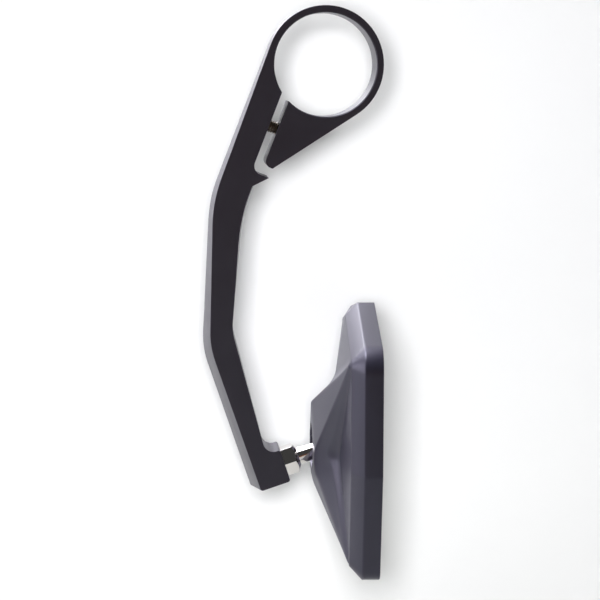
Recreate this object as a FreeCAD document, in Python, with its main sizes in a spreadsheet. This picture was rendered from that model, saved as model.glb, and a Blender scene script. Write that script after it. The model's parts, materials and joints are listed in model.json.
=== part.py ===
import FreeCAD, Part
import Sketcher
import math
import os

# Bar-end mirror for a motorcycle: a milled arm with a split clamp ring, a ball stud screwed into
# its foot, and a faceted mirror head that swivels on the ball.
# Origin: centre of the clamp bore, at half the arm's thickness. +Y is the handlebar's axis,
# +Z is up and +X points from the arm's bow to the mirror glass. Millimetres and degrees.

doc = FreeCAD.newDocument("motorcycle_mirror")

# Driving sizes: name, number, meaning
DRIVING_SIZES = [
    ("bar_bore", "33.0", "clamp bore, round the end of the handlebar"),
    ("ring_wall", "2.25", "wall of the clamp ring"),
    ("arm_thickness", "12.5", "arm along the handlebar"),
    ("back_land", "2.2", "depth of the straight side behind the long bevel"),
    ("upper_lean", "21.45", "upper limb of the arm, from the vertical"),
    ("upper_run", "54.0", "ring tangent to the shoulder corner"),
    ("shoulder_bend", "46.0", "outer radius of the shoulder"),
    ("shoulder_width", "10.9", "outer to inner shoulder corner, along X"),
    ("shoulder_drop", "4.7", "outer to inner shoulder corner, along Z"),
    ("inner_shoulder_bend", "60.0", "inner radius of the shoulder"),
    ("lower_lean", "18.4", "lower limb and ball stud, turned from the axes"),
    ("lower_run", "50.5", "foot to the elbow corner"),
    ("elbow_bend", "28.0", "outer radius of the elbow"),
    ("elbow_width", "9.9", "outer to inner elbow corner, along X"),
    ("elbow_rise", "7.3", "outer to inner elbow corner, along Z"),
    ("inner_elbow_bend", "15.0", "inner radius of the elbow"),
    ("ankle_width", "8.5", "lower limb where it meets the foot"),
    ("ankle_bend", "3.5", "inner radius between the lower limb and the foot"),
    ("foot_height", "11.3", "foot, across the stud"),
    ("foot_length", "13.3", "foot, along the stud"),
    ("foot_corner", "0.8", "rounded corners of the foot"),
    ("seat_back", "13.2", "stud seat behind the bore centre"),
    ("seat_drop", "131.5", "stud seat below the bore centre"),
    ("shoulder_bevel", "0.8", "outer bevel on the front at the shoulder"),
    ("elbow_bevel", "2.2", "outer bevel on the front at the elbow"),
    ("foot_bevel", "3.0", "outer bevel on the front at the foot"),
    ("nose_bevel", "1.2", "inner bevel on the front at the nose"),
    ("inner_elbow_bevel", "0.4", "inner bevel on the front at the elbow"),
    ("lug_lean", "32.4", "lower edge of the clamp lug, from the horizontal"),
    ("lug_length", "32.2", "ring tangent to the lug's tip"),
    ("nose_length", "4.9", "nose under the slot"),
    ("slot_wall", "8.9", "arm beside the slot"),
    ("slot_width", "3.0", "upright leg of the slot"),
    ("slot_exit", "3.2", "leg of the slot that leaves under the lug"),
    ("slot_corner", "3.0", "rounded end of the slot"),
    ("lug_corner", "2.2", "rounded corner of the lug"),
    ("ring_edge", "0.35", "broken edges of the clamp bore"),
    ("screw_drop", "24.7", "clamp screw below the bore centre, along the slot"),
    ("screw_diameter", "4.0", "clamp screw thread"),
    ("screw_engagement", "6.2", "clamp screw thread in the arm"),
    ("screw_head_diameter", "7.0", "clamp screw head"),
    ("screw_head_height", "4.0", "clamp screw head"),
    ("screw_socket", "3.0", "hexagon socket across flats"),
    ("screw_socket_depth", "2.2", "hexagon socket"),
    ("screw_tip", "0.5", "broken edges of the screws and of the stud's thread"),
    ("screw_clearance", "0.3", "round the clamp screw in the lug, on the diameter"),
    ("head_clearance", "0.5", "round the screw head in its recess, on the diameter"),
    ("thread_fit", "0.04", "radial play of a thread in its hole"),
    ("hole_spare", "0.8", "blind hole beyond the end of its thread"),
    ("stud_thread", "6.0", "stud thread in the foot"),
    ("stud_thread_length", "9.5", "stud thread in the foot"),
    ("stud_reach", "16.7", "stud seat to the ball's centre"),
    ("stud_hex", "9.0", "stud hexagon across flats"),
    ("stud_hex_length", "3.9", "stud hexagon"),
    ("stud_cone_length", "1.3", "turned cone on the hexagon's end"),
    ("neck_diameter", "6.0", "stud neck beside the hexagon"),
    ("waist_diameter", "5.2", "stud neck beside the ball"),
    ("ball_diameter", "12.0", "stud ball"),
    ("ball_play", "0.04", "radial running play round the ball"),
    ("shell_wall", "1.15", "bearing shell round the ball"),
    ("shell_mouth", "45.0", "bearing shell mouth, half angle"),
    ("shell_end", "92.0", "rear edge of the bearing shell, angle from the mouth's axis"),
    ("head_yaw", "3.94", "head turned towards the rider about the upright axis"),
    ("socket_lip", "50.5", "housing lip round the stud, half angle"),
    ("socket_mouth", "15.2", "round opening in the back of the head"),
    ("socket_wall", "2.35", "socket tube"),
    ("socket_end", "7.0", "open end of the socket tube, from the ball's centre"),
    ("cup_nose", "9.2", "thrust cup where it bears on the ball"),
    ("cup_shoulder", "5.7", "front of the cup's flange, from the ball's centre"),
    ("cup_back", "7.6", "back of the cup, from the ball's centre"),
    ("spring_outer", "10.0", "disc spring"),
    ("spring_inner", "5.2", "disc spring"),
    ("spring_sheet", "0.5", "disc spring"),
    ("spring_cone", "0.3", "disc spring, cone height"),
    ("spring_play", "0.04", "disc spring off the cup"),
    ("plate_sheet", "1.2", "pressure plate"),
    ("plate_corner", "4.2", "rounded corners of the pressure plate"),
    ("plate_hole", "4.8", "hole in the middle of the pressure plate"),
    ("plate_screw_circle", "25.2", "screws that hold the pressure plate"),
    ("plate_screw_diameter", "3.0", "plate screw thread"),
    ("plate_screw_length", "6.0", "plate screw under its head"),
    ("plate_screw_head", "5.4", "plate screw head"),
    ("plate_screw_head_height", "1.7", "plate screw head"),
    ("plate_screw_clearance", "0.3", "round the screws in the plate, on the diameter"),
    ("boss_wall", "1.6", "screw bosses inside the housing"),
    ("head_half_width", "46.4", "mirror head, half its width"),
    ("roof_height", "48.4", "top of the head above the ball"),
    ("roof_slope", "10.5", "top edge of the head"),
    ("side_drop", "1.0", "lower end of the upright sides, above the ball"),
    ("side_taper", "15.0", "lower sides, from the vertical"),
    ("base_drop", "35.7", "bottom edge of the head below the ball"),
    ("head_corner", "5.0", "rounded corners of the head's outline"),
    ("facet_corner", "1.2", "rounded corners at the inner edge of the bevel band"),
    ("rim_front", "14.33", "front of the rim, from the ball's centre"),
    ("rim_back", "8.66", "back of the rim, from the ball's centre"),
    ("band_back", "4.54", "inner edge of the bevel band, from the ball's centre"),
    ("band_inset", "4.3", "bevel band, measured in the plane of the glass"),
    ("facet_margin", "0.5", "flat round the facets"),
    ("spine_kink_height", "22.6", "spine kink above the ball"),
    ("spine_kink_depth", "1.13", "spine kink from the ball's centre, towards the glass"),
    ("boss_back", "7.1", "flat end of the boss, behind the ball's centre"),
    ("boss_top", "14.5", "top corner of the boss's end"),
    ("boss_side", "11.3", "side corners of the boss's end"),
    ("boss_side_drop", "2.1", "side corners of the boss's end, below the ball"),
    ("boss_base", "6.5", "lower corners of the boss's end"),
    ("boss_base_drop", "8.8", "lower corners of the boss's end, below the ball"),
    ("crease_out", "22.7", "crease beside the boss, from the middle"),
    ("crease_rise", "3.1", "crease beside the boss, above the ball"),
    ("crease_depth", "0.7", "crease beside the boss, from the ball's centre"),
    ("housing_wall", "2.2", "back wall of the housing"),
    ("rim_wall", "1.8", "rim round the glass"),
    ("ledge_width", "3.5", "ledge under the glass"),
    ("ledge_depth", "3.1", "ledge below the front of the rim"),
    ("pad_sheet", "0.6", "foam tape between ledge and glass"),
    ("pad_inset", "0.6", "foam tape inside the edge of the glass"),
    ("pad_width", "2.4", "foam tape"),
    ("glass_play", "0.2", "round the glass in the rim"),
    ("glass_sheet", "2.2", "mirror glass at its middle"),
    ("glass_radius", "1400.0", "convex face of the mirror glass"),
]

dim = doc.addObject("Spreadsheet::Sheet", "Dim")
for row, (name, value, meaning) in enumerate(DRIVING_SIZES, 1):
    dim.set(f"A{row}", meaning)
    dim.set(f"B{row}", value)
    dim.setAlias(f"B{row}", name)
doc.recompute()

# Places that follow from the driving sizes
DERIVED_PLACES = [
    ("bore_radius", "Dim.bar_bore / 2"),
    ("ring_radius", "Dim.bar_bore / 2 + Dim.ring_wall"),
    ("half_thickness", "Dim.arm_thickness / 2"),
    ("upper_sin", "sin(Dim.upper_lean)"),
    ("upper_cos", "cos(Dim.upper_lean)"),
    ("lower_sin", "sin(Dim.lower_lean)"),
    ("lower_cos", "cos(Dim.lower_lean)"),
    ("lug_sin", "sin(Dim.lug_lean)"),
    ("lug_cos", "cos(Dim.lug_lean)"),
    ("shoulder_x", "-ring_radius * upper_cos - Dim.upper_run * upper_sin"),
    ("shoulder_z", "ring_radius * upper_sin - Dim.upper_run * upper_cos"),
    ("inner_shoulder_x", "shoulder_x + Dim.shoulder_width"),
    ("inner_shoulder_z", "shoulder_z - Dim.shoulder_drop"),
    ("foot_low_x", "-Dim.seat_back + Dim.foot_height / 2 * lower_sin"),
    ("foot_low_z", "-Dim.seat_drop - Dim.foot_height / 2 * lower_cos"),
    ("foot_high_x", "-Dim.seat_back - Dim.foot_height / 2 * lower_sin"),
    ("foot_high_z", "-Dim.seat_drop + Dim.foot_height / 2 * lower_cos"),
    ("heel_x", "foot_low_x - Dim.foot_length * lower_cos"),
    ("heel_z", "foot_low_z - Dim.foot_length * lower_sin"),
    ("ankle_x", "heel_x + Dim.ankle_width * lower_cos - Dim.foot_height * lower_sin"),
    ("ankle_z", "heel_z + Dim.ankle_width * lower_sin + Dim.foot_height * lower_cos"),
    ("elbow_x", "heel_x - Dim.lower_run * lower_sin"),
    ("elbow_z", "heel_z + Dim.lower_run * lower_cos"),
    ("inner_elbow_x", "elbow_x + Dim.elbow_width"),
    ("inner_elbow_z", "elbow_z + Dim.elbow_rise"),
    ("lug_tip_x", "ring_radius * lug_sin - Dim.lug_length * lug_cos"),
    ("lug_tip_z", "-ring_radius * lug_cos - Dim.lug_length * lug_sin"),
    ("nose_tip_x", "lug_tip_x - Dim.slot_exit * upper_sin"),
    ("nose_tip_z", "lug_tip_z - Dim.slot_exit * upper_cos"),
    ("nose_root_x", "nose_tip_x - Dim.nose_length * lug_cos"),
    ("nose_root_z", "nose_tip_z - Dim.nose_length * lug_sin"),
    ("slot_start", "bore_radius / 2"),
    ("slot_left", "ring_radius - Dim.slot_wall"),
    ("slot_right", "slot_left - Dim.slot_width"),
    ("slot_turn", "-lug_tip_x * upper_sin - lug_tip_z * upper_cos"),
    ("slot_floor", "slot_turn + Dim.slot_exit"),
    ("screw_radius", "Dim.screw_diameter / 2"),
    ("recess_radius", "(Dim.screw_head_diameter + Dim.head_clearance) / 2"),
    ("lug_turn", "Dim.upper_lean + Dim.lug_lean"),
    ("recess_rim", "((Dim.screw_drop + recess_radius) * cos(lug_turn) - ring_radius) / sin(lug_turn)"),
    ("screw_seat", "recess_rim + Dim.screw_head_height"),
    ("screw_end", "slot_left + Dim.screw_engagement"),
    ("screw_x", "-screw_seat * upper_cos - Dim.screw_drop * upper_sin"),
    ("screw_z", "screw_seat * upper_sin - Dim.screw_drop * upper_cos"),
    ("ball_x", "-Dim.seat_back + Dim.stud_reach * lower_cos"),
    ("ball_z", "-Dim.seat_drop + Dim.stud_reach * lower_sin"),
    ("ball_radius", "Dim.ball_diameter / 2"),
    ("shell_inner", "ball_radius + Dim.ball_play"),
    ("shell_outer", "shell_inner + Dim.shell_wall"),
    ("seat_radius", "shell_outer + Dim.ball_play"),
    ("cup_radius", "seat_radius - Dim.ball_play"),
    ("socket_radius", "seat_radius + Dim.socket_wall"),
    ("plate_back", "Dim.cup_back + Dim.spring_play + Dim.spring_sheet + Dim.spring_cone"),
    ("plate_front", "plate_back + Dim.plate_sheet"),
    ("boss_radius", "Dim.plate_screw_diameter / 2 + Dim.boss_wall"),
    ("ledge_front", "Dim.rim_front - Dim.ledge_depth"),
    ("cavity_inset", "Dim.rim_wall + Dim.ledge_width"),
    ("glass_back", "ledge_front + Dim.pad_sheet"),
    ("glass_front", "glass_back + Dim.glass_sheet"),
    ("glass_inset", "Dim.rim_wall + Dim.glass_play"),
]

pos = doc.addObject("Spreadsheet::Sheet", "Pos")
for row, (name, formula) in enumerate(DERIVED_PLACES, 1):
    pos.set(f"A{row}", f"={formula}")
    pos.setAlias(f"A{row}", name)
    doc.recompute()


def number(formula):
    """The present value of a formula on the two sheets."""
    result = pos.evalExpression(formula)
    return float(getattr(result, "Value", result))


def new_body(name):
    body = doc.addObject("PartDesign::Body", name)
    body.Label = name
    return body


def origin_feature(body, role):
    for feature in body.Origin.OriginFeatures:
        if feature.Role == role:
            return feature
    raise ValueError(role)


def put(item, x, z, axis, angle):
    """Place an object at (x, 0, z), turned about an axis, all bound to the sheets."""
    item.Placement = FreeCAD.Placement(
        FreeCAD.Vector(number(x), 0, number(z)), FreeCAD.Rotation(axis, number(angle)))
    item.setExpression("Placement.Base.x", x)
    item.setExpression("Placement.Base.z", z)
    item.setExpression("Placement.Rotation.Angle", angle)


LIFT = FreeCAD.Vector(0, -1, 0)
YAW = FreeCAD.Vector(0, 0, -1)


def put_on_stud(item):
    """Origin at the ball's centre, x along the stud towards the ball."""
    put(item, "Pos.ball_x", "Pos.ball_z", LIFT, "Dim.lower_lean")


def put_on_head(item):
    """Origin at the ball's centre, x along the head's axis towards the glass."""
    put(item, "Pos.ball_x", "Pos.ball_z", YAW, "Dim.head_yaw")


def new_sketch(body, name, role, offset=None):
    """A sketch on one of the body's own planes, moved along the plane's normal."""
    sketch = body.newObject("Sketcher::SketchObject", name)
    sketch.AttachmentSupport = [(origin_feature(body, role), "")]
    sketch.MapMode = "FlatFace"
    if offset:
        sketch.setExpression("AttachmentOffset.Base.z", offset)
    return sketch


def turn_sketch(sketch, x, y, angle):
    """Move and turn a sketch in its own plane."""
    sketch.AttachmentOffset = FreeCAD.Placement(
        FreeCAD.Vector(number(x), number(y), 0), FreeCAD.Rotation(FreeCAD.Vector(0, 0, 1), number(angle)))
    sketch.setExpression("AttachmentOffset.Base.x", x)
    sketch.setExpression("AttachmentOffset.Base.y", y)
    sketch.setExpression("AttachmentOffset.Rotation.Angle", angle)


def drive(sketch, constraint, formula):
    index = sketch.addConstraint(constraint)
    sketch.setExpression(f"Constraints[{index}]", formula)


def pin(sketch, geometry, end, x, y):
    """Hold a point at a place given by formulas; None leaves that coordinate free."""
    for kind, axis, formula in (("DistanceX", -2, x), ("DistanceY", -1, y)):
        if formula is None:
            continue
        value = number(formula)
        if formula == "0":
            sketch.addConstraint(Sketcher.Constraint("PointOnObject", geometry, end, axis))
        elif value > 0:
            drive(sketch, Sketcher.Constraint(kind, -1, 1, geometry, end, value), formula)
        else:
            drive(sketch, Sketcher.Constraint(kind, geometry, end, -1, 1, -value), f"-({formula})")


def arc_between(centre, start, end, left):
    """An arc from start to end, turning left or right, and the numbers of its ends."""
    angles = [math.atan2(point.y - centre.y, point.x - centre.x) for point in (start, end)]
    circle = Part.Circle(centre, FreeCAD.Vector(0, 0, 1), (start - centre).Length)
    if left:
        return Part.ArcOfCircle(circle, angles[0], angles[1]), 1, 2
    return Part.ArcOfCircle(circle, angles[1], angles[0]), 2, 1


def outline(sketch, corners, ring=None):
    """Draw a closed outline of straight edges through corners (x, y, radius), given as formulas.

    A corner with a radius is rounded. Between two corners, ("arc", radius) makes the edge an arc
    about the sketch's origin. With ring, a circle of that radius about the origin closes the
    outline, tangent to its first and last edges.
    """
    points = []
    radii = []
    swings = []
    for corner in corners:
        if corner[0] == "arc":
            swings[-1] = corner[1]
            continue
        points.append(corner)
        radii.append(corner[2] if len(corner) > 2 else None)
        swings.append(None)
    places = [FreeCAD.Vector(number(point[0]), number(point[1]), 0) for point in points]
    count = len(places)
    origin = FreeCAD.Vector(0, 0, 0)
    upwards = FreeCAD.Vector(0, 0, 1)
    if ring:
        radius = number(ring)
        first_angle = math.atan2(places[0].y, places[0].x) - math.acos(radius / places[0].Length)
        last_angle = math.atan2(places[-1].y, places[-1].x) + math.acos(radius / places[-1].Length)
        ring_first = FreeCAD.Vector(radius * math.cos(first_angle), radius * math.sin(first_angle), 0)
        ring_last = FreeCAD.Vector(radius * math.cos(last_angle), radius * math.sin(last_angle), 0)

    arrivals = list(places)
    departures = list(places)
    centres = [None] * count
    turns = [True] * count
    for index, formula in enumerate(radii):
        if formula is None:
            continue
        before = ring_first if ring and index == 0 else places[index - 1]
        after = ring_last if ring and index == count - 1 else places[(index + 1) % count]
        inward = (places[index] - before).normalize()
        outward = (after - places[index]).normalize()
        turns[index] = inward.cross(outward).z > 0
        half_turn = inward.getAngle(outward) / 2
        reach = number(formula) * math.tan(half_turn)
        arrivals[index] = places[index] - inward * reach
        departures[index] = places[index] + outward * reach
        side = upwards.cross(inward) if turns[index] else inward.cross(upwards)
        centres[index] = arrivals[index] + side * number(formula)

    # Each edge leaves corner `index`; an outline closed by a ring has one more, before the first.
    edges = []
    tails = []
    heads = []
    for index in range(count):
        last_edge = index == count - 1
        start = departures[index]
        end = ring_last if ring and last_edge else arrivals[(index + 1) % count]
        if swings[index]:
            left = start.cross(end).z > 0
            curve, tail, head = arc_between(origin, start, end, left)
        else:
            curve, tail, head = Part.LineSegment(start, end), 1, 2
        edges.append(sketch.addGeometry(curve, False))
        tails.append(tail)
        heads.append(head)
        if swings[index]:
            sketch.addConstraint(Sketcher.Constraint("Coincident", edges[index], 3, -1, 1))
            drive(sketch, Sketcher.Constraint("Radius", edges[index], number(swings[index])), swings[index])
    arriving = [(edges[index - 1], heads[index - 1]) for index in range(count)]
    if ring:
        opening_edge = sketch.addGeometry(Part.LineSegment(ring_first, arrivals[0]), False)
        arriving[0] = (opening_edge, 2)
        ring_curve, ring_tail, ring_head = arc_between(origin, ring_last, ring_first, True)
        ring_edge = sketch.addGeometry(ring_curve, False)
        sketch.addConstraint(Sketcher.Constraint("Coincident", ring_edge, 3, -1, 1))
        drive(sketch, Sketcher.Constraint("Radius", ring_edge, radius), ring)
        sketch.addConstraint(Sketcher.Constraint("Tangent", edges[-1], 2, ring_edge, ring_tail))
        sketch.addConstraint(Sketcher.Constraint("Tangent", ring_edge, ring_head, opening_edge, 1))

    for index, point in enumerate(points):
        edge_in, end_in = arriving[index]
        edge_out, end_out = edges[index], tails[index]
        if radii[index] is None:
            sketch.addConstraint(Sketcher.Constraint("Coincident", edge_in, end_in, edge_out, end_out))
            x, y = point[:2]
            if swings[index] or swings[index - 1]:
                x, y = (None, y) if y == "0" else (x, None)
            pin(sketch, edge_out, end_out, x, y)
            continue
        bend, bend_tail, bend_head = arc_between(
            centres[index], arrivals[index], departures[index], turns[index])
        arc = sketch.addGeometry(bend, False)
        mark = sketch.addGeometry(Part.Point(places[index]), True)
        pin(sketch, mark, 1, point[0], point[1])
        sketch.addConstraint(Sketcher.Constraint("PointOnObject", mark, 1, edge_in))
        sketch.addConstraint(Sketcher.Constraint("PointOnObject", mark, 1, edge_out))
        sketch.addConstraint(Sketcher.Constraint("Tangent", edge_in, end_in, arc, bend_tail))
        sketch.addConstraint(Sketcher.Constraint("Tangent", arc, bend_head, edge_out, end_out))
        drive(sketch, Sketcher.Constraint("Radius", arc, number(radii[index])), radii[index])


def circle(sketch, x, y, radius):
    place = FreeCAD.Vector(number(x), number(y), 0)
    ring = sketch.addGeometry(Part.Circle(place, FreeCAD.Vector(0, 0, 1), number(radius)), False)
    pin(sketch, ring, 3, x, y)
    drive(sketch, Sketcher.Constraint("Radius", ring, number(radius)), radius)


def feature(body, kind, name, sketch, **bound):
    """Add a sketch based feature whose named properties follow formulas."""
    item = body.newObject(f"PartDesign::{kind}", name)
    item.Profile = sketch
    for prop, formula in bound.items():
        item.setExpression(prop, formula)
    return item


def turned(body, kind, name, sketch, axis="H_Axis"):
    """Revolve a half section about an axis of its sketch, to add or to cut."""
    item = feature(body, kind, name, sketch)
    item.ReferenceAxis = (sketch, [axis])
    item.Angle = 360
    return item


def cut_through(body, name, sketch, length):
    item = feature(body, "Pocket", name, sketch, Length=length)
    item.SideType = "Symmetric"
    return item


def polar_copies(body, name, original, copies):
    """Repeat a feature round the body's x axis."""
    pattern = body.newObject("PartDesign::PolarPattern", name)
    pattern.Originals = [original]
    pattern.Axis = (origin_feature(body, "X_Axis"), [""])
    pattern.Angle = 360
    pattern.Occurrences = copies
    body.Tip = pattern
    return pattern


def hexagon(across_flats):
    """Corners of a hexagon with a corner on the sketch's x axis."""
    corners = []
    for index in range(6):
        x = f"{across_flats} / sqrt(3) * cos({60 * index})"
        y = "0" if index % 3 == 0 else f"{across_flats} / sqrt(3) * sin({60 * index})"
        corners.append((x, y))
    return corners


# Clamp arm: milled from aluminium plate as one piece, with a long bevel down its outer edge,
# a split clamp ring and a foot that is square to the ball stud.
def arm_profile(body, name, offset, bevelled):
    sketch = new_sketch(body, name, "XZ_Plane", offset)

    def bevel(formula, shift):
        return f"{formula} {shift}" if bevelled else formula

    outline(sketch, [
        (bevel("Pos.shoulder_x", "+ Dim.shoulder_bevel"), "Pos.shoulder_z", "Dim.shoulder_bend"),
        (bevel("Pos.elbow_x", "+ Dim.elbow_bevel"), bevel("Pos.elbow_z", "+ Dim.elbow_bevel"),
         "Dim.elbow_bend"),
        (bevel("Pos.heel_x", "+ Dim.foot_bevel * Pos.lower_cos"),
         bevel("Pos.heel_z", "+ Dim.foot_bevel * Pos.lower_sin"), "Dim.foot_corner"),
        ("Pos.foot_low_x", "Pos.foot_low_z", "Dim.foot_corner"),
        ("Pos.foot_high_x", "Pos.foot_high_z", "Dim.foot_corner"),
        ("Pos.ankle_x", "Pos.ankle_z", "Dim.ankle_bend"),
        (bevel("Pos.inner_elbow_x", "- Dim.inner_elbow_bevel"), "Pos.inner_elbow_z", "Dim.inner_elbow_bend"),
        (bevel("Pos.inner_shoulder_x", "- Dim.nose_bevel"), "Pos.inner_shoulder_z",
         "Dim.inner_shoulder_bend"),
        (bevel("Pos.nose_root_x", "- Dim.nose_bevel"), "Pos.nose_root_z"),
        ("Pos.nose_tip_x", "Pos.nose_tip_z"),
        ("Pos.lug_tip_x", "Pos.lug_tip_z"),
    ], ring="Pos.ring_radius")
    return sketch


arm = new_body("clamp_arm")
arm_back = arm_profile(arm, "arm_back_profile", "-Pos.half_thickness", False)
arm_land = arm_profile(arm, "arm_land_profile", "Dim.back_land - Pos.half_thickness", False)
arm_front = arm_profile(arm, "arm_front_profile", "Pos.half_thickness", True)
arm_blank = feature(arm, "AdditiveLoft", "arm_blank", arm_back)
arm_blank.Sections = [arm_land, arm_front]
arm_blank.Ruled = True
doc.recompute()

bore_sketch = new_sketch(arm, "bore_sketch", "XZ_Plane")
circle(bore_sketch, "0", "0", "Pos.bore_radius")
bore = cut_through(arm, "bore", bore_sketch, "2 * Dim.arm_thickness")

# The slot's own axes: x from the slot to the arm's outer edge, y down along the slot.
SLOT_TURN = "180 - Dim.upper_lean"
slot_sketch = new_sketch(arm, "slot_sketch", "XZ_Plane")
turn_sketch(slot_sketch, "0", "0", SLOT_TURN)
outline(slot_sketch, [
    ("Pos.slot_left", "Pos.slot_start"),
    ("Pos.slot_left", "Pos.slot_floor", "Dim.slot_corner"),
    ("-Pos.slot_left", "Pos.slot_floor"),
    ("-Pos.slot_left", "Pos.slot_turn"),
    ("Pos.slot_right", "Pos.slot_turn", "Dim.lug_corner"),
    ("Pos.slot_right", "Pos.slot_start"),
])
slot = cut_through(arm, "slot", slot_sketch, "2 * Dim.arm_thickness")

# Stepped hole for the clamp screw: recess and clearance in the lug, thread in the arm.
screw_hole_sketch = new_sketch(arm, "screw_hole_sketch", "XZ_Plane")
turn_sketch(screw_hole_sketch, "-Dim.screw_drop * Pos.upper_sin", "-Dim.screw_drop * Pos.upper_cos",
            SLOT_TURN)
outline(screw_hole_sketch, [
    ("Pos.screw_seat - Pos.ring_radius", "0"),
    ("Pos.screw_end + Dim.hole_spare", "0"),
    ("Pos.screw_end + Dim.hole_spare", "Pos.screw_radius + Dim.thread_fit"),
    ("Pos.slot_left - Dim.slot_width / 2", "Pos.screw_radius + Dim.thread_fit"),
    ("Pos.slot_left - Dim.slot_width / 2", "Pos.screw_radius + Dim.screw_clearance / 2"),
    ("Pos.screw_seat", "Pos.screw_radius + Dim.screw_clearance / 2"),
    ("Pos.screw_seat", "Pos.recess_radius"),
    ("Pos.screw_seat - Pos.ring_radius", "Pos.recess_radius"),
])
screw_hole = turned(arm, "Groove", "screw_hole", screw_hole_sketch)

# Blind threaded hole for the stud, square to the foot's face.
stud_hole_sketch = new_sketch(arm, "stud_hole_sketch", "XZ_Plane")
turn_sketch(stud_hole_sketch, "-Dim.seat_back", "-Dim.seat_drop", "Dim.lower_lean")
outline(stud_hole_sketch, [
    ("Dim.foot_corner", "0"),
    ("Dim.foot_corner", "Dim.stud_thread / 2 + Dim.thread_fit"),
    ("-Dim.stud_thread_length - Dim.hole_spare", "Dim.stud_thread / 2 + Dim.thread_fit"),
    ("-Dim.stud_thread_length - Dim.hole_spare", "0"),
])
stud_hole = turned(arm, "Groove", "stud_hole", stud_hole_sketch)

# Broken edges of the bore on both faces, turned about the bore's own axis.
bore_chamfers = []
for face, sign in (("near", "-"), ("far", "")):
    chamfer_sketch = new_sketch(arm, f"{face}_chamfer_sketch", "XY_Plane")
    outline(chamfer_sketch, [
        ("Pos.bore_radius - Dim.ring_edge", f"{sign}(Pos.half_thickness - 2 * Dim.ring_edge)"),
        ("Pos.bore_radius + 2 * Dim.ring_edge", f"{sign}(Pos.half_thickness + Dim.ring_edge)"),
        ("Pos.bore_radius - Dim.ring_edge", f"{sign}(Pos.half_thickness + Dim.ring_edge)"),
    ])
    bore_chamfers.append(turned(arm, "Groove", f"{face}_chamfer", chamfer_sketch, "V_Axis"))

# Clamp screw: socket head cap screw that closes the ring. Origin under its head, x into the arm.
screw = new_body("clamp_screw")
put(screw, "Pos.screw_x", "Pos.screw_z", LIFT, SLOT_TURN)
screw_sketch = new_sketch(screw, "screw_section", "XZ_Plane")
outline(screw_sketch, [
    ("-Dim.screw_head_height", "0"),
    ("Pos.screw_end - Pos.screw_seat", "0"),
    ("Pos.screw_end - Pos.screw_seat", "Pos.screw_radius - Dim.screw_tip"),
    ("Pos.screw_end - Pos.screw_seat - Dim.screw_tip", "Pos.screw_radius"),
    ("0", "Pos.screw_radius"),
    ("0", "Dim.screw_head_diameter / 2"),
    ("-Dim.screw_head_height", "Dim.screw_head_diameter / 2", "Dim.screw_tip"),
])
turned(screw, "Revolution", "screw_turned", screw_sketch)
socket_sketch = new_sketch(screw, "screw_socket_sketch", "YZ_Plane", "-Dim.screw_head_height")
outline(socket_sketch, hexagon("Dim.screw_socket"))
screw_socket = feature(screw, "Pocket", "screw_socket", socket_sketch, Length="Dim.screw_socket_depth")
screw_socket.Reversed = True

# Ball stud: turned and chromed steel in one piece, thread, hexagon, neck and ball.
stud = new_body("ball_stud")
put_on_stud(stud)
hex_sketch = new_sketch(stud, "stud_hex_sketch", "YZ_Plane", "-Dim.stud_reach")
outline(hex_sketch, hexagon("Dim.stud_hex"))
feature(stud, "Pad", "stud_hexagon", hex_sketch, Length="Dim.stud_hex_length + Dim.stud_cone_length")
cone_sketch = new_sketch(stud, "stud_cone_sketch", "XZ_Plane")
CONE_BACK = "-Dim.stud_reach + Dim.stud_hex_length"
CONE_FRONT = "-Dim.stud_reach + Dim.stud_hex_length + Dim.stud_cone_length"
outline(cone_sketch, [
    (CONE_BACK, "Dim.stud_hex / sqrt(3)"),
    (CONE_FRONT, "Dim.neck_diameter / 2"),
    (CONE_FRONT, "Dim.stud_hex"),
    (CONE_BACK, "Dim.stud_hex"),
])
turned(stud, "Groove", "stud_cone", cone_sketch)
shank_sketch = new_sketch(stud, "stud_shank_section", "XZ_Plane")
SHANK_END = "-Dim.stud_reach - Dim.stud_thread_length"
outline(shank_sketch, [
    (SHANK_END, "0"),
    (CONE_BACK, "0"),
    (CONE_BACK, "Dim.stud_thread / 2"),
    (f"{SHANK_END} + Dim.screw_tip", "Dim.stud_thread / 2"),
    (SHANK_END, "Dim.stud_thread / 2 - Dim.screw_tip"),
])
turned(stud, "Revolution", "stud_shank", shank_sketch)
stud_sketch = new_sketch(stud, "stud_section", "XZ_Plane")
WAIST_X = "-sqrt(Pos.ball_radius ^ 2 - (Dim.waist_diameter / 2) ^ 2)"
outline(stud_sketch, [
    (CONE_BACK, "0"),
    ("Pos.ball_radius", "0"),
    ("arc", "Pos.ball_radius"),
    (WAIST_X, "Dim.waist_diameter / 2"),
    (CONE_FRONT, "Dim.neck_diameter / 2"),
    (CONE_BACK, "Dim.neck_diameter / 2"),
])
turned(stud, "Revolution", "stud_turned", stud_sketch)

# Bearing shell: acetal ring with a spherical wall, snapped on the ball inside the socket.
shell = new_body("bearing_shell")
put_on_stud(shell)
shell_sketch = new_sketch(shell, "shell_section", "XZ_Plane")


def on_sphere(radius, angle):
    """A point of a half section at an angle from the mouth's axis."""
    return f"-{radius} * cos({angle})", f"{radius} * sin({angle})"


outline(shell_sketch, [
    on_sphere("Pos.shell_inner", "Dim.shell_mouth"),
    ("arc", "Pos.shell_inner"),
    on_sphere("Pos.shell_inner", "Dim.shell_end"),
    on_sphere("Pos.shell_outer", "Dim.shell_end"),
    ("arc", "Pos.shell_outer"),
    on_sphere("Pos.shell_outer", "Dim.shell_mouth"),
])
turned(shell, "Revolution", "shell_turned", shell_sketch)

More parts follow.
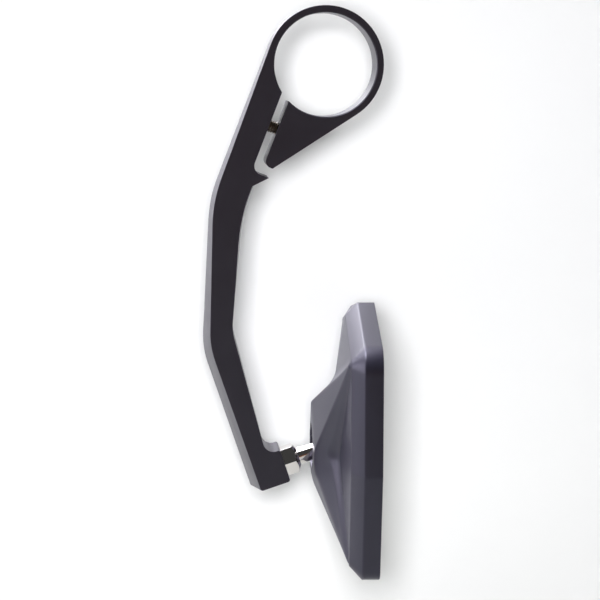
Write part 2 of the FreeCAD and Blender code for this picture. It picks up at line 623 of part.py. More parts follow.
# Thrust cup: acetal plunger that bears on the back of the ball and slides in the socket tube.
cup = new_body("thrust_cup")
put_on_head(cup)
cup_sketch = new_sketch(cup, "cup_section", "XZ_Plane")
outline(cup_sketch, [
    ("Pos.shell_inner", "0"),
    ("Dim.cup_back", "0"),
    ("Dim.cup_back", "Pos.cup_radius"),
    ("Dim.cup_shoulder", "Pos.cup_radius"),
    ("Dim.cup_shoulder", "Dim.cup_nose / 2"),
    ("sqrt(Pos.shell_inner ^ 2 - (Dim.cup_nose / 2) ^ 2)", "Dim.cup_nose / 2"),
    ("arc", "Pos.shell_inner"),
])
turned(cup, "Revolution", "cup_turned", cup_sketch)

# Disc spring: coned steel washer that loads the cup and gives the ball its friction.
spring = new_body("disc_spring")
put_on_head(spring)
spring_sketch = new_sketch(spring, "spring_section", "XZ_Plane")
outline(spring_sketch, [
    ("Dim.cup_back + Dim.spring_play", "Dim.spring_outer / 2"),
    ("Pos.plate_back - Dim.spring_sheet", "Dim.spring_inner / 2"),
    ("Pos.plate_back", "Dim.spring_inner / 2"),
    ("Dim.cup_back + Dim.spring_play + Dim.spring_sheet", "Dim.spring_outer / 2"),
])
turned(spring, "Revolution", "spring_turned", spring_sketch)

# Pressure plate: three-cornered steel stamping, screwed to the housing behind the spring.
PLATE_SCREWS = 3
plate = new_body("pressure_plate")
put_on_head(plate)
plate_sketch = new_sketch(plate, "plate_sketch", "YZ_Plane", "Pos.plate_back")
PLATE_CORNER = "(Dim.plate_screw_circle / 2 + 2 * Dim.plate_corner)"
outline(plate_sketch, [
    ("0", PLATE_CORNER, "Dim.plate_corner"),
    (f"-{PLATE_CORNER} * cos(30)", f"-{PLATE_CORNER} * sin(30)", "Dim.plate_corner"),
    (f"{PLATE_CORNER} * cos(30)", f"-{PLATE_CORNER} * sin(30)", "Dim.plate_corner"),
])
circle(plate_sketch, "0", "0", "Dim.plate_hole / 2")
feature(plate, "Pad", "plate_stamping", plate_sketch, Length="Dim.plate_sheet")
plate_hole_sketch = new_sketch(plate, "plate_hole_sketch", "YZ_Plane", "Pos.plate_back")
circle(plate_hole_sketch, "0", "Dim.plate_screw_circle / 2",
       "(Dim.plate_screw_diameter + Dim.plate_screw_clearance) / 2")
plate_hole = feature(plate, "Pocket", "plate_screw_hole", plate_hole_sketch, Length="Dim.plate_sheet")
plate_hole.Reversed = True
polar_copies(plate, "plate_screw_holes", plate_hole, PLATE_SCREWS)

# Plate screws: three pan head screws in the housing's bosses.
plate_screws = new_body("plate_screws")
plate_screws.AllowCompound = True
put_on_head(plate_screws)
plate_screw_sketch = new_sketch(plate_screws, "plate_screw_section", "XZ_Plane")
plate_screw_sketch.setExpression("AttachmentOffset.Base.y", "Dim.plate_screw_circle / 2")
PLATE_SCREW_END = "Pos.plate_front - Dim.plate_screw_length"
outline(plate_screw_sketch, [
    (PLATE_SCREW_END, "0"),
    ("Pos.plate_front + Dim.plate_screw_head_height", "0"),
    ("Pos.plate_front + Dim.plate_screw_head_height", "Dim.plate_screw_head / 2", "Dim.screw_tip"),
    ("Pos.plate_front", "Dim.plate_screw_head / 2"),
    ("Pos.plate_front", "Dim.plate_screw_diameter / 2"),
    (PLATE_SCREW_END, "Dim.plate_screw_diameter / 2"),
])
plate_screw = turned(plate_screws, "Revolution", "plate_screw", plate_screw_sketch)
polar_copies(plate_screws, "plate_screw_set", plate_screw, PLATE_SCREWS)


# Mirror housing: die-cast shell with a flat rim, a bevel band and a faceted back that draws in
# to the ball socket. The head's outline is symmetric about its own middle plane.
def head_corners(inset):
    """Right-hand corners (y, z) of the head's outline, moved inwards by an inset."""
    top = ("0", f"Dim.roof_height - ({inset}) / cos(Dim.roof_slope)")
    upper = (f"Dim.head_half_width - ({inset})",
             f"Dim.roof_height - (Dim.head_half_width - ({inset})) * tan(Dim.roof_slope)"
             f" - ({inset}) / cos(Dim.roof_slope)")
    lower = (f"Dim.head_half_width - ({inset})", f"Dim.side_drop + ({inset}) * tan(Dim.side_taper / 2)")
    base = (f"Dim.head_half_width - (Dim.side_drop + Dim.base_drop - ({inset})) * tan(Dim.side_taper)"
            f" - ({inset}) / cos(Dim.side_taper)",
            f"-(Dim.base_drop - ({inset}))")
    return top, upper, lower, base


def head_outline(sketch, inset, radius):
    top, *right = head_corners(inset)
    corners = [(*top, radius)]
    corners += [(f"-({y})", z, radius) for y, z in right]
    corners += [(y, z, radius) for y, z in reversed(right)]
    outline(sketch, corners)


def head_slab(body, name, inset, radius, back, front):
    """A flat slab of the head's outline between two depths from the ball's centre."""
    sketch = new_sketch(body, f"{name}_sketch", "YZ_Plane", back)
    head_outline(sketch, inset, radius)
    return feature(body, "Pad", name, sketch, Length=f"{front} - ({back})")


def facet_solid(name, inset, shift, root):
    """The faceted back as a closed solid: shift moves its facets towards the glass.

    The boss's upper facet is one flat on the near side and folds from the kink on the far side.
    """
    rim = number(f"Dim.band_back + {shift}")
    end = number(f"-Dim.boss_back + {shift}")
    top, upper, lower, base = [(number(y), number(z)) for y, z in head_corners(inset)]
    spine_top = (rim, *top)
    kink = (number(f"Dim.spine_kink_depth + {shift}"), 0, number("Dim.spine_kink_height"))
    boss_top = (end, 0, number("Dim.boss_top"))
    faces = []
    for side in (1, -1):
        corner_a = (rim, side * upper[0], upper[1])
        corner_b = (rim, side * lower[0], lower[1])
        corner_c = (rim, side * base[0], base[1])
        crease = (number(f"Dim.crease_depth + {shift}"), side * number("Dim.crease_out"),
                  number("Dim.crease_rise"))
        boss_side = (end, side * number("Dim.boss_side"), -number("Dim.boss_side_drop"))
        boss_base = (end, side * number("Dim.boss_base"), -number("Dim.boss_base_drop"))
        faces += [
            (spine_top, corner_a, kink),
            (corner_a, crease, boss_side),
            (corner_a, corner_b, crease),
            (corner_b, corner_c, crease),
            (crease, corner_c, boss_side),
            (boss_side, corner_c, boss_base),
        ]
        if side < 0:
            faces += [(kink, corner_a, boss_top), (corner_a, boss_side, boss_top)]
        else:
            faces += [(kink, corner_a, boss_side), (kink, boss_side, boss_top)]
    end_face = [boss_top]
    lower_face = []
    rim_loop = [spine_top]
    for side in (1, -1):
        step = slice(None, None, side)
        end_face += [(end, side * number("Dim.boss_side"), -number("Dim.boss_side_drop")),
                     (end, side * number("Dim.boss_base"), -number("Dim.boss_base_drop"))][step]
        lower_face += [(end, side * number("Dim.boss_base"), -number("Dim.boss_base_drop")),
                       (rim, side * base[0], base[1])][step]
        rim_loop += [(rim, side * y, z) for y, z in (upper, lower, base)][step]
    faces += [end_face, lower_face]
    floor = rim + root
    floor_loop = [(floor, y, z) for _, y, z in rim_loop]
    for index in range(len(rim_loop)):
        following = (index + 1) % len(rim_loop)
        faces.append([rim_loop[index], rim_loop[following], floor_loop[following], floor_loop[index]])
    faces.append(floor_loop)
    panels = []
    for face in faces:
        corners = [FreeCAD.Vector(*corner) for corner in face]
        panels.append(Part.Face(Part.makePolygon(corners + corners[:1])))
    solid = Part.makeSolid(Part.makeShell(panels))
    if solid.Volume < 0:
        solid.reverse()
    item = doc.addObject("Part::Feature", name)
    item.Shape = solid
    return item


OVERLAP = 0.8
outer = new_body("housing_outside")
outer.BaseFeature = facet_solid(
    "outside_facets", "Dim.band_inset + Dim.facet_margin", "0", OVERLAP)
put_on_head(outer)
band_back = new_sketch(outer, "band_back_sketch", "YZ_Plane", "Dim.band_back")
head_outline(band_back, "Dim.band_inset", "Dim.facet_corner")
band_front = new_sketch(outer, "band_front_sketch", "YZ_Plane", "Dim.rim_back")
head_outline(band_front, "0", "Dim.head_corner")
band = feature(outer, "AdditiveLoft", "bevel_band", band_back)
band.Sections = [band_front]
band.Ruled = True
head_slab(outer, "rim", "0", "Dim.head_corner", "Dim.rim_back", "Dim.rim_front")

inner = new_body("housing_inside")
inner.BaseFeature = facet_solid("inside_facets", "Pos.cavity_inset + Dim.facet_margin", "Dim.housing_wall",
                                OVERLAP)
put_on_head(inner)
head_slab(inner, "cavity", "Pos.cavity_inset", "Dim.facet_corner", "Dim.band_back + Dim.housing_wall",
          "Dim.rim_front")
head_slab(inner, "glass_pocket", "Dim.rim_wall", "Dim.head_corner - Dim.rim_wall", "Pos.ledge_front",
          "Dim.rim_front + Dim.rim_wall")

# Socket tube and screw bosses that stand inside the housing.
socket = new_body("socket_block")
put_on_head(socket)
tube_sketch = new_sketch(socket, "tube_section", "XZ_Plane")
outline(tube_sketch, [
    ("-Dim.boss_back", "0"),
    ("Dim.socket_end", "0"),
    ("Dim.socket_end", "Pos.socket_radius"),
    ("-Dim.boss_back", "Pos.socket_radius"),
])
turned(socket, "Revolution", "tube", tube_sketch)
boss_sketch = new_sketch(socket, "boss_sketch", "YZ_Plane", "-Dim.ball_play")
circle(boss_sketch, "0", "Dim.plate_screw_circle / 2", "Pos.boss_radius")
boss = feature(socket, "Pad", "screw_boss", boss_sketch, Length="Pos.plate_back + Dim.ball_play")
polar_copies(socket, "screw_bosses", boss, PLATE_SCREWS)

# Everything that is bored out of the socket: mouth, spherical seat, tube and screw holes.
bores = new_body("socket_bores")
put_on_head(bores)
seat_sketch = new_sketch(bores, "seat_section", "XZ_Plane")
lip_x, lip_y = on_sphere("Pos.seat_radius", "Dim.socket_lip")
outline(seat_sketch, [
    ("-Dim.boss_back - Dim.housing_wall", "0"),
    ("Dim.rim_back", "0"),
    ("Dim.rim_back", "Pos.seat_radius"),
    ("0", "Pos.seat_radius"),
    ("arc", "Pos.seat_radius"),
    (lip_x, lip_y),
    ("-Dim.boss_back", "Dim.socket_mouth / 2"),
    ("-Dim.boss_back - Dim.housing_wall", "Dim.socket_mouth / 2"),
])
turned(bores, "Revolution", "seat", seat_sketch)
tap_sketch = new_sketch(bores, "tap_sketch", "YZ_Plane", f"{PLATE_SCREW_END} - Dim.hole_spare")
circle(tap_sketch, "0", "Dim.plate_screw_circle / 2", "Dim.plate_screw_diameter / 2 + Dim.thread_fit")
tap = feature(bores, "Pad", "screw_tap", tap_sketch, Length="Dim.plate_screw_length + Dim.hole_spare")
bores.AllowCompound = True
polar_copies(bores, "screw_taps", tap, PLATE_SCREWS)

hollow = doc.addObject("Part::Cut", "housing_hollow")
hollow.Base = outer
hollow.Tool = inner
seated = doc.addObject("Part::Common", "socket_inside")
seated.Base = outer
seated.Tool = socket
joined = doc.addObject("Part::Fuse", "housing_joined")
joined.Base = hollow
joined.Tool = seated
housing = doc.addObject("Part::Cut", "mirror_housing")
housing.Base = joined
housing.Tool = bores

# Foam tape between the ledge and the glass, laid as a frame.
pad = new_body("glass_pad")
put_on_head(pad)
pad_sketch = new_sketch(pad, "pad_sketch", "YZ_Plane", "Pos.ledge_front")
PAD_OUTER = "Pos.glass_inset + Dim.pad_inset"
head_outline(pad_sketch, PAD_OUTER, "Dim.head_corner - Dim.rim_wall")
head_outline(pad_sketch, f"{PAD_OUTER} + Dim.pad_width", "Dim.facet_corner")
feature(pad, "Pad", "pad_frame", pad_sketch, Length="Dim.pad_sheet")

# Mirror glass: flat at the back, ground slightly convex in front, cut to the rim.
glass_blank = new_body("glass_blank")
put_on_head(glass_blank)
head_slab(glass_blank, "glass_sheet", "Pos.glass_inset", "Dim.head_corner - Dim.rim_wall", "Pos.glass_back",
          "Pos.glass_front")
crown = doc.addObject("Part::Sphere", "glass_crown")
crown.setExpression("Radius", "Dim.glass_radius")
CROWN_CENTRE = "(Pos.glass_front - Dim.glass_radius)"
crown.setExpression("Placement.Base.x", f"Pos.ball_x + {CROWN_CENTRE} * cos(Dim.head_yaw)")
crown.setExpression("Placement.Base.y", f"-{CROWN_CENTRE} * sin(Dim.head_yaw)")
crown.setExpression("Placement.Base.z", "Pos.ball_z")
glass = doc.addObject("Part::Common", "mirror_glass")
glass.Base = glass_blank
glass.Tool = crown

SUB_PARTS = [arm, screw, stud, shell, cup, spring, plate, plate_screws, housing, pad, glass]

doc.recompute()
for item in doc.Objects:
    if "Invalid" in item.State or "Error" in item.State:
        raise RuntimeError(f"{item.Name} failed: {item.State}")
for cut in (bore, slot, screw_hole, stud_hole, *bore_chamfers):
    if cut.Shape.Volume >= cut.BaseFeature.Shape.Volume:
        raise RuntimeError(f"{cut.Name} cuts nothing")
for item in SUB_PARTS:
    if item.Shape.isNull() or not item.Shape.isValid():
        raise RuntimeError(f"{item.Label} is not a valid shape")

os.makedirs("parts", exist_ok=True)
for item in SUB_PARTS:
    item.Shape.exportStep(f"parts/{item.Label}.step")
    print(f"{item.Label}: {len(item.Shape.Solids)} solid(s), {item.Shape.Volume:.1f} mm3")
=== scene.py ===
import json
import math

import bpy
from mathutils import Matrix, Vector


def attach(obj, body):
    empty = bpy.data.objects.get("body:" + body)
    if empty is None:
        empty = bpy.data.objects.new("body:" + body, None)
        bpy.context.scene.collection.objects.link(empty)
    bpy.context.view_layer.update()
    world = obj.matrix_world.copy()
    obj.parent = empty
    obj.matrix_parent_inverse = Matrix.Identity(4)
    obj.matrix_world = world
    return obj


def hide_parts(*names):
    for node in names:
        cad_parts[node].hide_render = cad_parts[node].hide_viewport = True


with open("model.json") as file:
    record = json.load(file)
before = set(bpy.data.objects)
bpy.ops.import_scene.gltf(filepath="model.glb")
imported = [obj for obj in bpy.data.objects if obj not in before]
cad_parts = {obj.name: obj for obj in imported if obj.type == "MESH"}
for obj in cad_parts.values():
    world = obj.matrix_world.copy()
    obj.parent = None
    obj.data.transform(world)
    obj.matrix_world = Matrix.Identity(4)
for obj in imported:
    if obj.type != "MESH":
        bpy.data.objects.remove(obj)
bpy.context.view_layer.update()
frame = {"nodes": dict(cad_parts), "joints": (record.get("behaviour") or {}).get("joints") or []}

MM = 0.001

# Clamp arm: one piece of aluminium plate, milled to shape with a long bevel down its bowed edge,
# split at the ring, bead blasted and anodised black. Its milled edges are broken by hand.
ARM_EDGE = 0.36 * MM
ARM_COLOUR = (0.0330, 0.0300, 0.0400, 1.0)
ARM_SHEEN = (0.0440, 0.0405, 0.0520, 1.0)
ARM_TINT = (0.93, 0.90, 1.0, 1.0)
MERGE_GAP = 0.002 * MM
FLAT_ANGLE = math.radians(0.4)
SHARP_ANGLE = math.radians(30.0)
EDGE_SEGMENTS = 2


class Wire:
    """An output socket in a material's nodes; arithmetic on it adds Math nodes."""

    def __init__(self, tree, socket=None):
        self.tree = tree
        self.socket = socket

    def add(self, kind, settings=None, inputs=None, output=0):
        """Add a node with its settings, then the values or links of its sockets."""
        node = self.tree.nodes.new(kind)
        for name, value in (settings or {}).items():
            if name == "stops":
                ramp = node.color_ramp.elements
                while len(ramp) < len(value):
                    ramp.new(0.5)
                for stop, (place, colour) in zip(ramp, value):
                    stop.position = place
                    stop.color = colour
            else:
                setattr(node, name, value)
        for name, value in (inputs or {}).items():
            if isinstance(value, Wire):
                self.tree.links.new(value.socket, node.inputs[name])
            else:
                node.inputs[name].default_value = value
        return Wire(self.tree, node.outputs[output])

    def maths(self, operation, first, second):
        return self.add("ShaderNodeMath", {"operation": operation}, {0: first, 1: second})

    def __add__(self, other):
        return self.maths("ADD", self, other)

    def __radd__(self, other):
        return self.maths("ADD", other, self)

    def __mul__(self, other):
        return self.maths("MULTIPLY", self, other)

    def noise(self, scale, detail=2.0, roughness=0.5):
        """Noise on Object coordinates, with its scale in waves a metre."""
        place = self.add("ShaderNodeTexCoord", output="Object")
        return self.add("ShaderNodeTexNoise", {}, {
            "Vector": place, "Scale": scale, "Detail": detail, "Roughness": roughness})

    def blend(self, factor, first, second):
        """Mix two colours by a value; 6, 7 and output 2 are the Mix node's colour sockets."""
        return self.add("ShaderNodeMix", {"data_type": "RGBA"}, {0: factor, 6: first, 7: second}, 2)

    def bump(self, height, strength, distance):
        return self.add("ShaderNodeBump", {}, {
            "Height": height, "Strength": strength, "Distance": distance})

    def ease(self, value, start, end, top=1.0):
        """Zero below the start, rising smoothly to the top at the end."""
        return self.add("ShaderNodeMapRange", {"interpolation_type": "SMOOTHSTEP"}, {
            "Value": value, "From Min": start, "From Max": end, "To Max": top})

    def ray(self, kind):
        """One for rays of a kind (Camera, Glossy or Transmission), else zero."""
        return self.add("ShaderNodeLightPath", output=f"Is {kind} Ray")


def new_finish(name, **sockets):
    """A material with one Principled shader, its even values set on the shader's own sockets."""
    finish = bpy.data.materials.new(name)
    finish.use_nodes = True
    shader = finish.node_tree.nodes["Principled BSDF"]
    for socket, value in sockets.items():
        shader.inputs[socket.replace("_", " ")].default_value = value
    return finish, shader, Wire(finish.node_tree)


def feed(shader, **wires):
    """Link wires to the shader's sockets."""
    for socket, wire in wires.items():
        wire.tree.links.new(wire.socket, shader.inputs[socket.replace("_", " ")])


def dress(piece, finish):
    """Give a piece one finish in place of any it had."""
    piece.data.materials.clear()
    piece.data.materials.append(finish)


def start_alone(piece):
    """Make a piece the only one selected, and the active one."""
    bpy.ops.object.select_all(action="DESELECT")
    bpy.context.view_layer.objects.active = piece
    piece.select_set(True)


def edit_all(piece):
    """Open a piece in edit mode with its whole mesh selected."""
    start_alone(piece)
    bpy.ops.object.mode_set(mode="EDIT")
    bpy.ops.mesh.select_all(action="SELECT")


def solid_copy(node, name):
    """A copy of a CAD node's mesh with its loose triangles merged into flat faces."""
    piece = bpy.data.objects.new(name, frame["nodes"][node].data.copy())
    bpy.context.scene.collection.objects.link(piece)
    edit_all(piece)
    bpy.ops.mesh.remove_doubles(threshold=MERGE_GAP)
    bpy.ops.mesh.dissolve_limited(angle_limit=FLAT_ANGLE)
    bpy.ops.object.mode_set(mode="OBJECT")
    piece.data.validate()
    if piece.data.has_custom_normals:
        bpy.ops.mesh.customdata_custom_splitnormals_clear()
    return piece


def break_edges(piece, width):
    """Round every edge that turns by more than the sharp angle, and keep the faces beside it flat."""
    start_alone(piece)
    bpy.ops.object.shade_smooth_by_angle(angle=SHARP_ANGLE)
    bevel = piece.modifiers.new("broken_edges", "BEVEL")
    bevel.width = width
    bevel.segments = EDGE_SEGMENTS
    bevel.limit_method = "ANGLE"
    bevel.angle_limit = SHARP_ANGLE
    bevel.use_clamp_overlap = True
    bevel.miter_outer = "MITER_ARC"
    bevel.harden_normals = True
    bpy.ops.object.modifier_apply(modifier=bevel.name)


arm = solid_copy("clamp_arm", "milled_arm")
break_edges(arm, ARM_EDGE)
anodised, shader, wire = new_finish("black_anodised_aluminium", Specular_IOR_Level=0.4,
                                   Specular_Tint=ARM_TINT)
cloud = wire.noise(90.0, 3.0)
blast = wire.noise(5200.0, 2.0, 0.6)
feed(shader,
     Base_Color=wire.blend(cloud, ARM_COLOUR, ARM_SHEEN),
     Roughness=0.30 + cloud * 0.08 + blast * 0.05,
     Normal=wire.bump(blast, 0.18, 0.03 * MM))
dress(arm, anodised)
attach(arm, "arm")
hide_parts("clamp_arm")

# Clamp screw: socket head cap screw of blackened steel. Its head sits in the lug's recess and its
# rolled thread shows where it crosses the slot. Lengths here are in millimetres.
SCREW_LEAN = math.radians(21.45)
SCREW_DROP = 24.7
SCREW_SEAT = 1.59
SCREW_END = 16.0
SCREW_CREST = 1.98
SCREW_ROOT = 1.56
PITCH = 0.7
FLANK_RISE = 1.25
HEAD_OVERLAP = 0.2
SHANK_KEPT = 1.0
THREAD_STEPS = 12
THREAD_SIDES = 40
SEAM_GAP = 0.001 * MM
SMOOTH_ANGLE = math.radians(40.0)
STEEL_DARK = (0.30, 0.26, 0.21, 1.0)
STEEL_BRIGHT = (0.56, 0.50, 0.43, 1.0)
to_screw_head = Vector((-math.sin(SCREW_LEAN), 0.0, -math.cos(SCREW_LEAN)))
screw_turn = Matrix.Rotation(math.pi + SCREW_LEAN, 4, "Y")
SCREW = Matrix.Translation(to_screw_head * SCREW_DROP * MM) @ screw_turn


def wrap_grid(name, rings, placed):
    """Wrap a grid primitive round a stack of loops, all with the same count of points."""
    around = len(rings[0])
    levels = len(rings)
    bpy.ops.object.select_all(action="DESELECT")
    bpy.ops.mesh.primitive_grid_add(x_subdivisions=around, y_subdivisions=levels - 1, size=2.0)
    piece = bpy.context.object
    piece.name = name
    for vertex in piece.data.vertices:
        column = round((vertex.co.x + 1) / 2 * around) % around
        row = round((vertex.co.y + 1) / 2 * (levels - 1))
        vertex.co = placed @ (rings[row][column] * MM)
    edit_all(piece)
    bpy.ops.mesh.remove_doubles(threshold=SEAM_GAP)
    bpy.ops.mesh.normals_make_consistent(inside=False)
    bpy.ops.object.mode_set(mode="OBJECT")
    bpy.ops.object.shade_smooth_by_angle(angle=SMOOTH_ANGLE)
    return piece


def thread_radius(along, turn):
    """Radius of the screw's thread: sharp roots, flat crests, one crest a pitch."""
    phase = (along / PITCH + turn) % 1.0
    share = min(1.0, FLANK_RISE * abs(2.0 * phase - 1.0))
    return SCREW_ROOT + (SCREW_CREST - SCREW_ROOT) * share


rings = []
for step in range(int((SCREW_END - SCREW_SEAT) / PITCH * THREAD_STEPS)):
    along = SCREW_SEAT - HEAD_OVERLAP + step * PITCH / THREAD_STEPS
    ring = []
    for side in range(THREAD_SIDES):
        turn = side / THREAD_SIDES
        radius = thread_radius(along, turn)
        angle = math.tau * turn
        ring.append(Vector((along, radius * math.cos(angle), radius * math.sin(angle))))
    rings.append(ring)
thread = wrap_grid("rolled_thread", rings, SCREW)

# The plain shank of the solid is cut off below the head, since the thread stands in its place.
screw = solid_copy("clamp_screw", "clamp_screw_head")
to_screw = SCREW.inverted()
start_alone(screw)
bpy.ops.object.mode_set(mode="EDIT")
bpy.ops.mesh.select_mode(type="VERT")
bpy.ops.mesh.select_all(action="DESELECT")
bpy.ops.object.mode_set(mode="OBJECT")
for vertex in screw.data.vertices:
    vertex.select = (to_screw @ vertex.co).x > (SCREW_SEAT + SHANK_KEPT) * MM
bpy.ops.object.mode_set(mode="EDIT")
bpy.ops.mesh.delete(type="VERT")
bpy.ops.object.mode_set(mode="OBJECT")
for piece in (thread, screw):
    edit_all(piece)
    bpy.ops.mesh.fill_holes(sides=0)
    bpy.ops.object.mode_set(mode="OBJECT")
start_alone(screw)
bpy.ops.object.shade_smooth_by_angle(angle=SHARP_ANGLE)
black_steel, shader, wire = new_finish("black_oxide_steel", Metallic=1.0)
grime = wire.noise(900.0, 3.0)
feed(shader,
     Base_Color=wire.blend(grime, STEEL_DARK, STEEL_BRIGHT),
     Roughness=0.30 + grime * 0.16)
for piece in (thread, screw):
    dress(piece, black_steel)
    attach(piece, "arm")
    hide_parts("clamp_screw")

# Ball stud: steel, turned in one piece with its hexagon and ball, then polished and chrome plated.
# Its thread is screwed into the arm's foot up to the hexagon.
STUD_EDGE = 0.14 * MM
CHROME_COLOUR = (0.83, 0.80, 0.775, 1.0)
stud = solid_copy("ball_stud", "chromed_stud")
break_edges(stud, STUD_EDGE)
chrome, shader, wire = new_finish("bright_chrome", Metallic=1.0, Base_Color=CHROME_COLOUR)
polish = wire.noise(700.0, 2.0)
feed(shader, Roughness=0.05 + polish * 0.06)
dress(stud, chrome)
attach(stud, "arm")
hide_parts("ball_stud")

# Bearing shell and thrust cup: moulded black acetal, between the ball and the housing's socket.
# The shell lies towards the mouth and the cup is pressed on the ball from the glass's side.
ACETAL_DARK = (0.012, 0.012, 0.013, 1.0)
ACETAL_LIGHT = (0.020, 0.020, 0.022, 1.0)
acetal, shader, wire = new_finish("black_acetal", Specular_IOR_Level=0.4)
flow = wire.noise(420.0, 2.0)
feed(shader,
     Base_Color=wire.blend(flow, ACETAL_DARK, ACETAL_LIGHT),
     Roughness=0.38 + flow * 0.14)
for node in ("bearing_shell", "thrust_cup"):
    dress(frame["nodes"][node], acetal)

# Spring, plate and screws: zinc plated steel inside the housing, which press the cup on the ball.
# The plate lies over the disc spring and three screws hold it down.
ZINC_DULL = (0.48, 0.49, 0.50, 1.0)
ZINC_BRIGHT = (0.62, 0.63, 0.64, 1.0)
zinc, shader, wire = new_finish("zinc_plated_steel", Metallic=1.0)
bloom = wire.noise(300.0, 4.0)
feed(shader,
     Base_Color=wire.blend(bloom, ZINC_DULL, ZINC_BRIGHT),
     Roughness=0.28 + bloom * 0.20)
for node in ("disc_spring", "pressure_plate", "plate_screws"):
    dress(frame["nodes"][node], zinc)

# Mirror housing: die-cast aluminium shell, powder coated black with a fine grain. Flat rim, bevel
# band and a back of soft edged facets that draws in to the round mouth of the ball socket. Its
# lengths are in millimetres from the ball: x along the head's axis to the glass, y across, z up.
spin = next(joint for joint in frame["joints"] if joint["name"] == "mirror_spin")
BALL = Vector(spin["pos_m"])
UP = Vector((0.0, 0.0, 1.0))
HEAD_AXIS = Vector(spin["axis"]).normalized()
HEAD_SIDE = UP.cross(HEAD_AXIS)
head_turn = Matrix((HEAD_AXIS, HEAD_SIDE, UP)).transposed().to_4x4()
HEAD = Matrix.Translation(BALL) @ head_turn

HALF_WIDTH = 46.4
ROOF_HEIGHT = 48.4
ROOF_SLOPE = math.radians(10.5)
SIDE_LOW = 1.0
SIDE_TAPER = math.radians(15.0)
BASE_LOW = -35.7
CORNER = 5.0
UPPER_SOFT = 1.6
RIM_FRONT = 14.33
RIM_BACK = 8.66
BAND_BACK = 4.54
BAND_INSET = 4.3
FACET_INSET = 4.8
BOSS_BACK = -7.1


def head_corners(inset):
    """Corners (y, z) of the head's outline moved inwards, from the top down its right side."""
    side = HALF_WIDTH - inset
    peak = ROOF_HEIGHT - inset / math.cos(ROOF_SLOPE)
    base = BASE_LOW + inset
    taper = (SIDE_LOW - base) * math.tan(SIDE_TAPER)
    return [
        Vector((0.0, peak)),
        Vector((side, peak - side * math.tan(ROOF_SLOPE))),
        Vector((side, SIDE_LOW + inset * math.tan(SIDE_TAPER / 2))),
        Vector((HALF_WIDTH - taper - inset / math.cos(SIDE_TAPER), base)),
    ]


STRAIGHT_STEPS = 34
CORNER_STEPS = 8


def outline(inset, radius):
    """The head's outline as a loop of (y, z) points, with the same count for every inset."""
    right = head_corners(inset)
    corners = right + [Vector((-corner.x, corner.y)) for corner in reversed(right[1:])]
    bends = [radius] * len(corners)
    for upper_corner in (1, -1):
        bends[upper_corner] = UPPER_SOFT * radius
    loop = []
    for index, corner in enumerate(corners):
        bend = bends[index]
        before = corners[index - 1]
        after = corners[(index + 1) % len(corners)]
        inward = (corner - before).normalized()
        outward = (after - corner).normalized()
        half_turn = inward.angle(outward) / 2
        reach = bend * math.tan(half_turn)
        centre = corner + (outward - inward).normalized() * bend / math.cos(half_turn)
        start = corner - inward * reach - centre
        for step in range(CORNER_STEPS + 1):
            turn = -2 * half_turn * step / CORNER_STEPS
            point = Vector((start.x * math.cos(turn) - start.y * math.sin(turn),
                            start.x * math.sin(turn) + start.y * math.cos(turn)))
            loop.append(centre + point)
        following = corners[(index + 2) % len(corners)]
        next_half = outward.angle((following - after).normalized()) / 2
        first = corner + outward * reach
        last = after - outward * bends[(index + 1) % len(corners)] * math.tan(next_half)
        for step in range(1, STRAIGHT_STEPS):
            loop.append(first.lerp(last, step / STRAIGHT_STEPS))
    return loop


def plane_through(first, second, third):
    """Height to the rear, as a function of (y, z), of the plane through three points (x, y, z)."""
    normal = (second - first).cross(third - first)
    return lambda y, z: -(first.x - (normal.y * (y - first.y) + normal.z * (z - first.z)) / normal.x)


def soft_least(one, two, soft):
    """The lesser of two heights, with the edge between them rounded."""
    return min(one, two) - max(soft - abs(one - two), 0.0) ** 2 / (4 * soft)


def soft_most(one, two, soft):
    """The greater of two heights, with the fold between them rounded."""
    return -soft_least(-one, -two, soft)


facet_corners = head_corners(FACET_INSET)
top, upper, lower, base = [Vector((BAND_BACK, corner.x, corner.y)) for corner in facet_corners]
base_left = Vector((base.x, -base.y, base.z))
KINK = Vector((1.13, 0.0, 22.6))
BOSS_TOP = Vector((BOSS_BACK, 0.0, 14.5))
BOSS_SIDE = Vector((BOSS_BACK, 11.3, -2.1))
BOSS_BASE = Vector((BOSS_BACK, 6.5, -8.8))
CREASE = Vector((0.7, 22.7, 3.1))
CREASE_SHARE = 0.2
STEP_DOWN = Vector((2.0, 1.2, 0.0))
CREASE_EDGE = CREASE.lerp(BOSS_SIDE, CREASE_SHARE)
CREASE_FLOOR = CREASE_EDGE + STEP_DOWN

# The facets' planes on one side of the head: those of the shallow border, the step beside the
# crescent, the crescent and shoulder of the near side, the far side's flats, and the chin.
roof = plane_through(top, upper, KINK)
side_high = plane_through(upper, lower, CREASE_FLOOR)
side_low = plane_through(lower, base, CREASE_FLOOR)
step_high = plane_through(upper, CREASE_EDGE, CREASE_FLOOR)
step_low = plane_through(CREASE_EDGE, base, CREASE_FLOOR)
crescent_high = plane_through(upper, CREASE, BOSS_SIDE)
crescent_low = plane_through(CREASE, base, BOSS_SIDE)
shoulder_flat = plane_through(upper, BOSS_SIDE, BOSS_TOP)
shoulder_top = plane_through(KINK, upper, BOSS_TOP)
far_top = plane_through(KINK, BOSS_SIDE, BOSS_TOP)
far_flank = plane_through(KINK, CREASE, BOSS_SIDE)
far_roof = plane_through(upper, KINK, CREASE)
chin_side = plane_through(BOSS_SIDE, base, BOSS_BASE)
chin = plane_through(BOSS_BASE, base, base_left)
RIDGE_SOFT = 0.45
STEP_SOFT = 0.45
FOLD_SOFT = 2.8
CREASE_SOFT = 2.4
FAR_SOFT = 1.4
FAR_LEAN = 0.026
MOUTH = 7.6
MOUTH_EDGE = 0.5
MOUTH_TILT = 0.05


